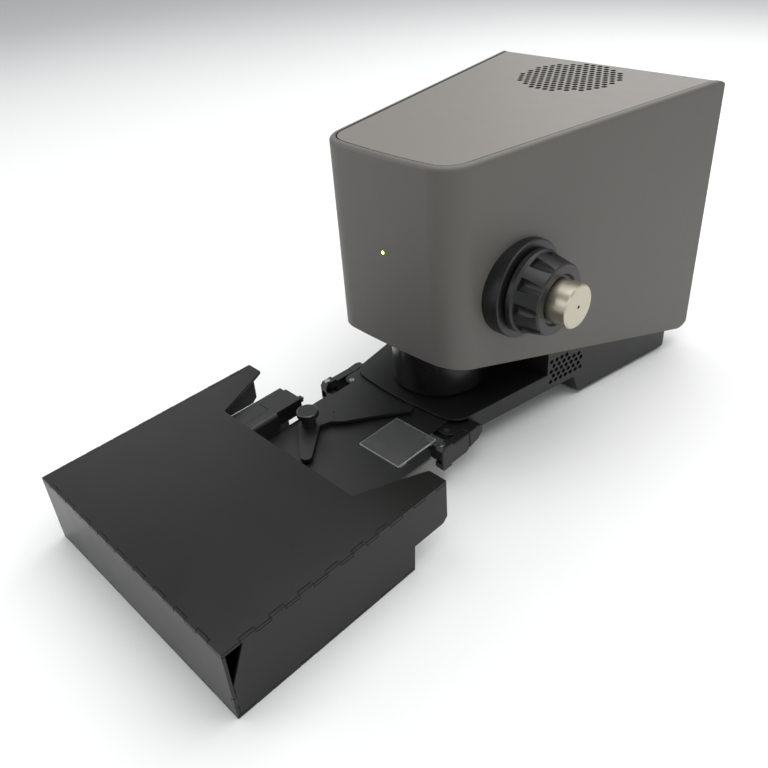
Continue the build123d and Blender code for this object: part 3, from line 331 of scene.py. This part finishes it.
# %% Threads on the two lead screws
def threaded(node, along, pitch):
    """A steel finish whose bump is a thread round the middle line of a node."""
    low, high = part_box(node)
    middle = [(a + b) / 2 for a, b in zip(low, high)]
    across = [axis for axis in range(3) if axis != along]

    def grain(place, bsdf):
        parts = split(place)
        first = parts[across[0]] - middle[across[0]]
        second = parts[across[1]] - middle[across[1]]
        angle = place.maths("ARCTAN2", first, second)
        thread = place.maths("SINE", parts[along] * (2 * math.pi / pitch) + angle)
        raise_by(thread, bsdf, 0.25 * MM)

    return finish(f"thread on {node}", (0.50, 0.50, 0.51), 0.3, 1.0, grain)


y_thread = threaded("y_screw", 1, 2.0 * MM)
x_thread = threaded("x_screw", 0, 1.0 * MM)
print("threads:", y_thread.name, "|", x_thread.name)

# %% [markdown]
# ## Clear and lit things
# The sample plate is clear acrylic: it bends light, so it is a real transmitting
# shader and not a faded one, with a slight haze. The status light glows by itself.

# %% Clear plate, glass, light, sphere lining and board
clear = finish(
    "clear acrylic plate", (0.60, 0.61, 0.60), 0.06, Transmission_Weight=0.92, IOR=1.49
)
quartz = finish("quartz window", (0.95, 0.97, 1.0), 0.02, Transmission_Weight=0.9, IOR=1.46)
glow = finish(
    "lit status lens", (0.45, 0.75, 0.10), 0.3,
    Emission_Color=(0.55, 1.0, 0.08, 1.0), Emission_Strength=6.0,
)
lining = finish("white diffuse lining", (0.90, 0.90, 0.88), 0.9)
board = finish("green solder mask", (0.010, 0.075, 0.030), 0.3)
chip = finish("chip package", (0.012, 0.012, 0.012), 0.5)
print("clear and lit finishes ready")

# %% [markdown]
# ## Which part takes which finish
# A table from finish to nodes is easier to check than sixty separate lines, and the
# count printed below shows that no node is left without one.

# %% Give every node its finish
FINISHES = {
    head_coat: ["head_shell", "head_floor"],
    plate_coat: ["top_plate"],
    black_coat: [
        "base_housing", "rear_panel", "knob_collar", "stage_frame", "saddle", "stage_table",
        "latch_left", "latch_right", "latch_anchors", "front_lip", "swing_arm", "deck_plate",
        "chassis_plate", "y_motor", "x_motor", "table_carriage",
    ],
    acrylic: ["cover_top", "cover_front", "cover_left", "cover_right", "cover_floor"],
    tube_black: ["nose_shroud"],
    polish: ["thumb_knob"],
    plastic: [
        "coarse_knob", "switch_body", "switch_rocker", "power_inlet",
        "fan_frame", "fan_rotor", "y_gearbox",
    ],
    champagne: ["fine_knob"],
    steel: [
        "fine_shaft", "pinion_shaft", "shaft_bush", "slide_rail", "rack", "stage_rails",
        "sample_stops", "latch_pins", "lip_screws", "usb_port",
    ],
    y_thread: ["y_screw"],
    x_thread: ["x_screw"],
    alloy: ["lift_carriage", "sphere_bracket", "board_posts", "lamp_housing", "port_tube"],
    casting: ["spectrometer", "power_supply", "source_module"],
    lining: ["sphere_lower", "sphere_upper"],
    clear: ["sample_plate"],
    glow: ["status_light"],
    board: ["main_board"],
    rubber: ["rubber_feet"],
}
finish_of = {name: material for material, names in FINISHES.items() for name in names}
for name, part in nodes.items():
    part.data.materials.clear()
    part.data.materials.append(finish_of[name])
print("finishes given to", len(finish_of), "of", len(nodes), "nodes")

# %% [markdown]
# ## Rounded edges
# Nothing real has a perfectly sharp edge, and a thin line of light along an edge is
# what tells the eye that two black sheets meet. A copy of each hard-edged part is
# welded, its flat faces are joined, and a Bevel modifier rounds the edges that turn
# by more than about thirty degrees. Weighted normals keep the large faces flat. The copy
# then stands in for the part. The cover's sheets get a plain chamfer instead, and where
# two of them meet, the two chamfers leave the fine groove that a finger joint shows.

# %% Round the edges of the visible parts
body_of = {}
for body, names in frame["record"]["behaviour"]["bodies"].items():
    for name in names:
        body_of[name] = body


def settle(piece):
    """Replace a piece's mesh by its evaluated mesh and drop its modifiers."""
    graph = bpy.context.evaluated_depsgraph_get()
    mesh = bpy.data.meshes.new_from_object(piece.evaluated_get(graph))
    piece.modifiers.clear()
    piece.data = mesh
    return piece


def add_piece(name, mesh, body, material=None):
    """Put a finished mesh in the scene as a piece that rides a body."""
    piece = bpy.data.objects.new(name, mesh)
    bpy.context.collection.objects.link(piece)
    if material:
        mesh.materials.clear()
        mesh.materials.append(material)
    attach(piece, body)
    return piece


WELD_DISTANCE = 0.001 * MM
FLAT_ANGLE = math.radians(0.4)      # faces that differ by less are one flat face
EDGE_ANGLE = math.radians(32)       # edges that turn by more are rounded
FLAT_PULL = 100                     # how far large faces keep their own normal


def rounded(name, width, chamfered):
    """A copy of a node with its hard edges rounded, or cut to a plain chamfer."""
    work = bmesh.new()
    work.from_mesh(nodes[name].data)
    bmesh.ops.remove_doubles(work, verts=work.verts, dist=WELD_DISTANCE)
    bmesh.ops.dissolve_limit(work, angle_limit=FLAT_ANGLE, verts=work.verts, edges=work.edges)
    work.verts.index_update()
    corners = [tuple(corner.co) for corner in work.verts]
    outlines = [[corner.index for corner in face.verts] for face in work.faces]
    work.free()
    mesh = bpy.data.meshes.new(f"{name}_rounded")
    mesh.from_pydata(corners, [], outlines)
    if not chamfered:
        mesh.shade_smooth()
    piece = bpy.data.objects.new(f"{name}_rounded", mesh)
    bpy.context.collection.objects.link(piece)
    bevel = piece.modifiers.new("edges", "BEVEL")
    bevel.width = width
    bevel.segments = 1 if chamfered else 2
    bevel.limit_method = "ANGLE"
    bevel.angle_limit = EDGE_ANGLE
    if not chamfered:
        weighted = piece.modifiers.new("normals", "WEIGHTED_NORMAL")
        weighted.mode = "FACE_AREA"
        weighted.weight = FLAT_PULL
    settle(piece)
    piece.data.materials.clear()
    piece.data.materials.append(finish_of[name])
    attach(piece, body_of[name])
    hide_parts(name)
    return piece


ROUNDING = {
    "cover_top": 0.55, "cover_front": 0.55, "cover_left": 0.55, "cover_right": 0.55,
    "cover_floor": 0.5, "stage_table": 0.25, "swing_arm": 0.3, "sample_plate": 0.3,
    "deck_plate": 0.3, "front_lip": 0.5, "y_motor": 0.3, "y_gearbox": 0.4,
    "latch_left": 0.5, "latch_right": 0.5, "latch_anchors": 0.5, "saddle": 0.4,
    "stage_frame": 0.4, "sample_stops": 0.15, "base_housing": 0.5,
}
face_count = 0
for name, width in ROUNDING.items():
    piece = rounded(name, width * MM, chamfered=name.startswith("cover_"))
    face_count += len(piece.data.polygons)
print("rounded", len(ROUNDING), "parts,", face_count, "faces")

# %% [markdown]
# The sample plate is cut from clear sheet, and its cut sides scatter light, so that they
# shine as thin pale lines round a plate that is otherwise hardly there.

# %% Bright cut sides of the sample plate
UPRIGHT = 0.9      # faces whose normal leans less than this towards z are sides
frosted = finish("cut side of clear sheet", (0.80, 0.82, 0.82), 0.45, Transmission_Weight=0.35)
plate = bpy.data.objects["sample_plate_rounded"]
plate.data.materials.append(frosted)
for face in plate.data.polygons:
    face.material_index = 1 if abs(face.normal.z) < UPRIGHT else 0
print("cut sides:", sum(face.material_index for face in plate.data.polygons), "faces")

# %% [markdown]
# ## Screws
# The rear panel and the base are held by small screws. A Geometry Nodes tree makes one head,
# a ring between a circle and a hexagon pulled up into a short cylinder with a floor in
# the hexagon, and places it on each vertex of a mesh of points. The same tree serves
# every row of screws, because its sizes and the way it faces are inputs.


# %% The screw tree
def new_tree(name, inputs):
    """An empty Geometry Nodes tree with named inputs; returns tree, its input and output."""
    tree = bpy.data.node_groups.new(name, "GeometryNodeTree")
    tree.interface.new_socket("Geometry", in_out="INPUT", socket_type="NodeSocketGeometry")
    for label, (kind, value) in inputs.items():
        socket = tree.interface.new_socket(label, in_out="INPUT", socket_type=kind)
        if value is not None:
            socket.default_value = value
    tree.interface.new_socket("Geometry", in_out="OUTPUT", socket_type="NodeSocketGeometry")
    start = tree.nodes.new("NodeGroupInput")
    end = tree.nodes.new("NodeGroupOutput")
    return tree, start, end


def wire(tree, kind, settings=None, **inputs):
    """Add a node to a geometry tree; inputs are sockets to link or plain values."""
    made = tree.nodes.new(kind)
    for key, setting in (settings or {}).items():
        setattr(made, key, setting)
    for key, value in inputs.items():
        socket = made.inputs[key.replace("_", " ")]
        if isinstance(value, bpy.types.NodeSocket):
            tree.links.new(value, socket)
        else:
            socket.default_value = value
    return made


def join(tree, *sockets):
    """Join several geometries."""
    made = tree.nodes.new("GeometryNodeJoinGeometry")
    for socket in sockets:
        tree.links.new(socket, made.inputs["Geometry"])
    return made.outputs["Geometry"]


def finish_tree(tree, end, geometry, material_socket):
    """End a tree the way the export needs: real geometry with a material."""
    real = wire(tree, "GeometryNodeRealizeInstances", Geometry=geometry)
    painted = wire(
        tree, "GeometryNodeSetMaterial", Geometry=real.outputs[0], Material=material_socket
    )
    tree.links.new(painted.outputs[0], end.inputs[0])


FLOOR_LIFT = 0.1 * MM      # floor of the socket above the seat of the screw


def screw_tree():
    """One socket-head screw on every point."""
    inputs = {
        "Head radius": ("NodeSocketFloat", 2.0 * MM),
        "Head height": ("NodeSocketFloat", 1.2 * MM),
        "Socket radius": ("NodeSocketFloat", 1.0 * MM),
        "Facing": ("NodeSocketRotation", None),
        "Material": ("NodeSocketMaterial", None),
    }
    tree, start, end = new_tree("socket screws", inputs)
    rim = wire(
        tree, "GeometryNodeCurvePrimitiveCircle",
        Resolution=24, Radius=start.outputs["Head radius"],
    )
    hexagon = wire(
        tree, "GeometryNodeCurvePrimitiveCircle",
        Resolution=6, Radius=start.outputs["Socket radius"],
    )
    outline = join(tree, rim.outputs["Curve"], hexagon.outputs["Curve"])
    ring = wire(tree, "GeometryNodeFillCurve", Curve=outline)
    up = wire(tree, "ShaderNodeCombineXYZ", Z=1.0)
    head = wire(
        tree, "GeometryNodeExtrudeMesh", Mesh=ring.outputs[0], Offset=up.outputs[0],
        Offset_Scale=start.outputs["Head height"], Individual=False,
    )
    floor = wire(tree, "GeometryNodeFillCurve", Curve=rim.outputs["Curve"])
    lift = wire(tree, "ShaderNodeCombineXYZ", Z=FLOOR_LIFT)
    raised = wire(
        tree, "GeometryNodeTransform", Geometry=floor.outputs[0], Translation=lift.outputs[0]
    )
    whole = join(tree, head.outputs["Mesh"], raised.outputs[0])
    placed = wire(
        tree, "GeometryNodeInstanceOnPoints", Points=start.outputs["Geometry"],
        Instance=whole, Rotation=start.outputs["Facing"],
    )
    finish_tree(tree, end, placed.outputs[0], start.outputs["Material"])
    return tree


SCREWS = screw_tree()
print("screw tree:", len(SCREWS.nodes), "nodes")


# %% Grow a tree's result into a piece
def grow(name, tree, points, values, body):
    """Run a tree on a set of points and keep the plain mesh that it makes."""
    mesh = bpy.data.meshes.new(name)
    mesh.from_pydata(points, [], [])
    seed = bpy.data.objects.new(name, mesh)
    bpy.context.collection.objects.link(seed)
    modifier = seed.modifiers.new("grow", "NODES")
    modifier.node_group = tree
    sockets = {
        item.name: item.identifier
        for item in tree.interface.items_tree
        if item.in_out == "INPUT"
    }
    for label, value in values.items():
        modifier[sockets[label]] = value
    settle(seed)
    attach(seed, body)
    return seed


DOWN = (math.pi, 0.0, 0.0)
BACK = (-math.pi / 2, 0.0, 0.0)
SOCKET_SHARE = 0.52      # socket radius as a share of the head's


def screws(name, places, radius, height, facing, body, material):
    """A set of socket-head screws, sized in millimetres, that face one way."""
    values = {
        "Head radius": radius * MM,
        "Head height": height * MM,
        "Socket radius": radius * SOCKET_SHARE * MM,
        "Facing": facing,
        "Material": material,
    }
    return grow(name, SCREWS, [Vector(p) * MM for p in places], values, body)


def box_mm(name):
    """The two corners of a node's box, in millimetres."""
    return [[value / MM for value in corner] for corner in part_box(name)]


shell_low, shell_high = box_mm("head_shell")
MIDDLE_X = (shell_low[0] + shell_high[0]) / 2
print("middle plane of the instrument at x =", round(MIDDLE_X, 2), "mm")

# %% [markdown]
# ## Where the screws go
# Screws sit where a plate has to be held: near the corners of the rear panel, and along
# both sides of the base. Their places are in millimetres, taken from the box of the part
# that they hold, and the ones underneath mirror across the instrument's middle plane.

# %% Screws behind and underneath
PANEL_INSET = 5.0
UNDER_SPOTS = ((98, 200), (70, 240), (110, 270))
panel_low, panel_high = box_mm("rear_panel")
panel_points = [
    (x, panel_high[1], z)
    for x in (panel_low[0] + PANEL_INSET, panel_high[0] - PANEL_INSET)
    for z in (panel_low[2] + PANEL_INSET, panel_high[2] - PANEL_INSET)
]
screws("panel_screws", panel_points, 1.9, 0.8, BACK, "root", black_coat)
base_under = box_mm("base_housing")[0][2]
under_points = [
    (MIDDLE_X + side * x, y, base_under)
    for side in (-1, 1)
    for x, y in UNDER_SPOTS
]
screws("under_screws", under_points, 2.2, 0.5, DOWN, "root", black_coat)
print("screws:", len(panel_points), "behind and", len(under_points), "underneath")

# %% [markdown]
# ## Small stage fittings
# The motor carries a brass pin, and the thumb knob has a ring of short ribs. A rib is one
# thin box repeated round the knob by a tree whose count and sizes are inputs.


# %% A ring of ribs
def rib_tree():
    """A ring of small boxes round every point."""
    inputs = {
        "Ribs": ("NodeSocketInt", 24),
        "Ring radius": ("NodeSocketFloat", 10 * MM),
        "Rib size": ("NodeSocketVector", (0.8 * MM, 0.8 * MM, 4 * MM)),
        "Material": ("NodeSocketMaterial", None),
    }
    tree, start, end = new_tree("ring of ribs", inputs)
    ring = wire(tree, "GeometryNodeCurvePrimitiveCircle", Radius=start.outputs["Ring radius"])
    points = wire(
        tree, "GeometryNodeCurveToPoints", {"mode": "COUNT"},
        Curve=ring.outputs["Curve"], Count=start.outputs["Ribs"],
    )
    rib = wire(tree, "GeometryNodeMeshCube", Size=start.outputs["Rib size"])
    placed = wire(
        tree, "GeometryNodeInstanceOnPoints", Points=points.outputs["Points"],
        Instance=rib.outputs["Mesh"], Rotation=points.outputs["Rotation"],
    )
    on_each = wire(
        tree, "GeometryNodeInstanceOnPoints", Points=start.outputs["Geometry"],
        Instance=placed.outputs[0],
    )
    finish_tree(tree, end, on_each.outputs[0], start.outputs["Material"])
    return tree


RIBS = rib_tree()
thumb_low, thumb_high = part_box("thumb_knob")
thumb_middle = [(a + b) / 2 for a, b in zip(thumb_low, thumb_high)]
thumb_radius = (thumb_high[0] - thumb_low[0]) / 2
print("thumb knob radius", round(thumb_radius / MM, 2), "mm")


# %% Round bars, slabs and the stage's fittings
LEVEL = 1e-9                        # an edge whose ends differ by less lies flat
SHARP_ANGLE = math.radians(40)


def tube(name, start, end, radius, body, material, sides=32, cap=0.12):
    """A solid round bar between two places in millimetres, with a small chamfer."""
    start, end = Vector(start) * MM, Vector(end) * MM
    length = (end - start).length
    work = bmesh.new()
    bmesh.ops.create_cone(
        work, cap_ends=True, segments=sides,
        radius1=radius * MM, radius2=radius * MM, depth=length,
    )
    ends = [
        edge for edge in work.edges
        if abs(edge.verts[0].co.z - edge.verts[1].co.z) < LEVEL
    ]
    bmesh.ops.bevel(work, geom=ends, offset=cap * radius * MM, segments=2, affect="EDGES")
    spin = (end - start).to_track_quat("Z", "Y").to_matrix().to_4x4()
    place = Matrix.Translation((start + end) / 2) @ spin
    bmesh.ops.transform(work, matrix=place, verts=work.verts)
    mesh = bpy.data.meshes.new(name)
    work.to_mesh(mesh)
    work.free()
    mesh.shade_smooth()
    mesh.set_sharp_from_angle(angle=SHARP_ANGLE)
    return add_piece(name, mesh, body, material)


def slab(name, low, high, body, material, bevel=0.15):
    """A box with slightly rounded edges between two corners in millimetres."""
    work = bmesh.new()
    bmesh.ops.create_cube(work, size=1.0)
    size = [(b - a) * MM for a, b in zip(low, high)]
    middle = [(a + b) / 2 * MM for a, b in zip(low, high)]
    bmesh.ops.scale(work, vec=size, verts=work.verts)
    bmesh.ops.translate(work, vec=middle, verts=work.verts)
    bmesh.ops.bevel(work, geom=work.edges[:], offset=bevel * MM, segments=2, affect="EDGES")
    mesh = bpy.data.meshes.new(name)
    work.to_mesh(mesh)
    work.free()
    return add_piece(name, mesh, body, material)


RIB_DROP = 2.6 * MM          # middle of a rib below the knob's top
RIB_SINK = 0.12 * MM         # how far the ring stands inside the knob's radius
rib_values = {
    "Ribs": 36,
    "Ring radius": thumb_radius - RIB_SINK,
    "Rib size": (0.7 * MM, 0.7 * MM, 3.0 * MM),
    "Material": polish,
}
rib_place = Vector((thumb_middle[0], thumb_middle[1], thumb_high[2] - RIB_DROP))
grow("thumb_ribs", RIBS, [rib_place], rib_values, "thumb")

PIN_Z = 57
PIN_RADIUS = 1.35
motor_high = box_mm("y_motor")[1]
pin_x = motor_high[0] - 5
pin_front = (pin_x, motor_high[1] - 6.4, PIN_Z)
pin_back = (pin_x, motor_high[1] + 0.4, PIN_Z)
tube("motor_pin", pin_front, pin_back, PIN_RADIUS, "root", brass)
print("fittings: thumb_ribs and motor_pin")

# %% [markdown]
# ## The window and the power inlet's pins
# Light comes up through a quartz window in the deck, below the port of the nose. The
# power inlet at the back has three flat pins, the middle one a little higher.

# %% Window and inlet pins
WINDOW_RADIUS = 12.9
WINDOW_SIDES = 48
WINDOW_CHAMFER = 0.02
tube_low, tube_high = box_mm("port_tube")
PORT_X = (tube_low[0] + tube_high[0]) / 2
PORT_Y = (tube_low[1] + tube_high[1]) / 2
source_top = box_mm("source_module")[1][2]
tube(
    "source_window", (PORT_X, PORT_Y, source_top - 0.9), (PORT_X, PORT_Y, source_top + 0.1),
    WINDOW_RADIUS, "root", quartz, WINDOW_SIDES, WINDOW_CHAMFER,
)
INLET_PINS = ((-7, 120.5), (0, 124.5), (7, 120.5))
PIN_HALF = 1.05
inlet_low, inlet_high = box_mm("power_inlet")
inlet_x = (inlet_low[0] + inlet_high[0]) / 2
for number, (dx, z) in enumerate(INLET_PINS):
    slab(
        f"inlet_pin_{number}", (inlet_x + dx - PIN_HALF, inlet_low[1] + 6, z - 2.05),
        (inlet_x + dx + PIN_HALF, inlet_high[1] - 2.9, z + 3.05), "root", steel,
    )
print("window and pins made round x =", round(PORT_X, 2), "and", round(inlet_x, 2))

# %% [markdown]
# ## Circuit board parts
# The board inside the head carries rows of chips. They are scattered by a tree with a
# fixed seed: a grid of points, a random size for each, one box on every point.


# %% Chips on the board
def chip_tree():
    """A grid of boxes with random sizes on every point."""
    inputs = {
        "Length": ("NodeSocketFloat", 100 * MM),
        "Width": ("NodeSocketFloat", 80 * MM),
        "Columns": ("NodeSocketInt", 9),
        "Rows": ("NodeSocketInt", 7),
        "Seed": ("NodeSocketInt", 4),
        "Material": ("NodeSocketMaterial", None),
    }
    tree, start, end = new_tree("board parts", inputs)
    grid = wire(
        tree, "GeometryNodeMeshGrid",
        Size_X=start.outputs["Length"], Size_Y=start.outputs["Width"],
        Vertices_X=start.outputs["Columns"], Vertices_Y=start.outputs["Rows"],
    )
    sizes = wire(
        tree, "FunctionNodeRandomValue", {"data_type": "FLOAT_VECTOR"},
        Seed=start.outputs["Seed"],
    )
    sizes.inputs["Min"].default_value = (2 * MM, 2 * MM, 1 * MM)
    sizes.inputs["Max"].default_value = (9 * MM, 8 * MM, 2.4 * MM)
    cube = wire(tree, "GeometryNodeMeshCube", Size=(1.0, 1.0, 1.0))
    placed = wire(
        tree, "GeometryNodeInstanceOnPoints", Points=grid.outputs["Mesh"],
        Instance=cube.outputs["Mesh"], Scale=sizes.outputs["Value"],
    )
    on_each = wire(
        tree, "GeometryNodeInstanceOnPoints", Points=start.outputs["Geometry"],
        Instance=placed.outputs[0],
    )
    finish_tree(tree, end, on_each.outputs[0], start.outputs["Material"])
    return tree


board_low, board_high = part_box("main_board")
board_middle = [(a + b) / 2 for a, b in zip(board_low, board_high)]
CHIP_SHARE = 0.6             # how much of the board the chips cover, each way
CHIP_LIFT = 0.1 * MM
chip_values = {
    "Length": (board_high[0] - board_low[0]) * CHIP_SHARE,
    "Width": (board_high[1] - board_low[1]) * CHIP_SHARE,
    "Material": chip,
}
board_top = Vector((board_middle[0], board_middle[1], board_high[2] + CHIP_LIFT))
print("board top at z =", round(board_top.z / MM, 1), "mm")
grow("board_chips", chip_tree(), [board_top], chip_values, "root")

# %% [markdown]
# ## Floor, light and camera
# The instrument stands on a pale floor under a large soft light, as for a catalogue.
# Black glossy sheet shows only what it reflects, so the lights are big. One stands
# behind, and one far to the left, to run a soft shine over the top of the cover.


# %% Floor
REACH = 6.0


def floor_piece():
    """A flat pale floor that reaches REACH metres each way."""
    mesh = bpy.data.meshes.new("floor")
    corners = [(-REACH, -REACH, 0), (REACH, -REACH, 0), (REACH, REACH, 0), (-REACH, REACH, 0)]
    mesh.from_pydata(corners, [], [(0, 1, 2, 3)])
    piece = bpy.data.objects.new("floor", mesh)
    bpy.context.collection.objects.link(piece)
    mesh.materials.append(finish("pale floor", (0.86, 0.86, 0.85), 0.75))


floor_piece()


# %% Lights
def soft_light(name, place, aim, size, power):
    """An area light at a place, facing a point."""
    data = bpy.data.lights.new(name, "AREA")
    data.shape = "RECTANGLE"
    data.size, data.size_y = size
    data.energy = power
    lamp = bpy.data.objects.new(name, data)
    bpy.context.collection.objects.link(lamp)
    lamp.location = place
    lamp.rotation_euler = (Vector(aim) - Vector(place)).to_track_quat("-Z", "Y").to_euler()


CENTRE = (0.0, 0.0, 0.12)
soft_light("overhead", (0.1, 0.38, 1.8), CENTRE, (2.4, 2.4), 40)
soft_light("front left", (-1.5, -1.5, 0.9), CENTRE, (1.4, 1.0), 10)
soft_light("front right", (1.7, -0.6, 0.8), CENTRE, (1.2, 1.0), 4)
soft_light("behind", (-0.3, 1.8, 1.0), CENTRE, (1.8, 0.8), 7)
soft_light("far left", (-2.0, 0.5, 1.3), CENTRE, (1.0, 1.0), 3)

ROOM_COLOUR = (0.90, 0.92, 0.95, 1)
ROOM_STRENGTH = 0.45
world = bpy.data.worlds.new("pale room")
world.use_nodes = True
room = world.node_tree.nodes["Background"]
room.inputs["Color"].default_value = ROOM_COLOUR
room.inputs["Strength"].default_value = ROOM_STRENGTH
bpy.context.scene.world = world
bpy.context.scene.view_settings.view_transform = "Standard"

# %% [markdown]
# The camera looks down on the front right corner. Its place and its three angles were
# worked out from the straight edges of the cover and the head, so it is built here from
# those angles and not aimed by hand.

# %% Camera
TURN = math.radians(47.7)
TILT = math.radians(33.4)
ROLL = math.radians(-4.7)
SENSOR = 36.0                # sensor width and lens length, in millimetres
LENS = 37.397
LENS_SHIFT = (0.00677, -0.03242)
NEAREST = 0.01
CAMERA_PLACE = Vector((0.45311, -0.45789, 0.51409))
level = math.cos(TILT)
back = Vector((math.sin(TURN) * level, -math.cos(TURN) * level, math.sin(TILT)))
side = (-back).cross(Vector((0, 0, 1))).normalized()
upward = side.cross(-back)
right = math.cos(ROLL) * side + math.sin(ROLL) * upward
top = -math.sin(ROLL) * side + math.cos(ROLL) * upward
lens = bpy.data.cameras.new("camera")
lens.sensor_width = SENSOR
lens.lens = LENS
lens.shift_x, lens.shift_y = LENS_SHIFT
lens.clip_start = NEAREST
camera = bpy.data.objects.new("camera", lens)
bpy.context.collection.objects.link(camera)
turn = Matrix((right, top, back)).transposed().to_4x4()
camera.matrix_world = Matrix.Translation(CAMERA_PLACE) @ turn
bpy.context.scene.camera = camera
print("camera lens", round(lens.lens, 1), "mm")

# %% [markdown]
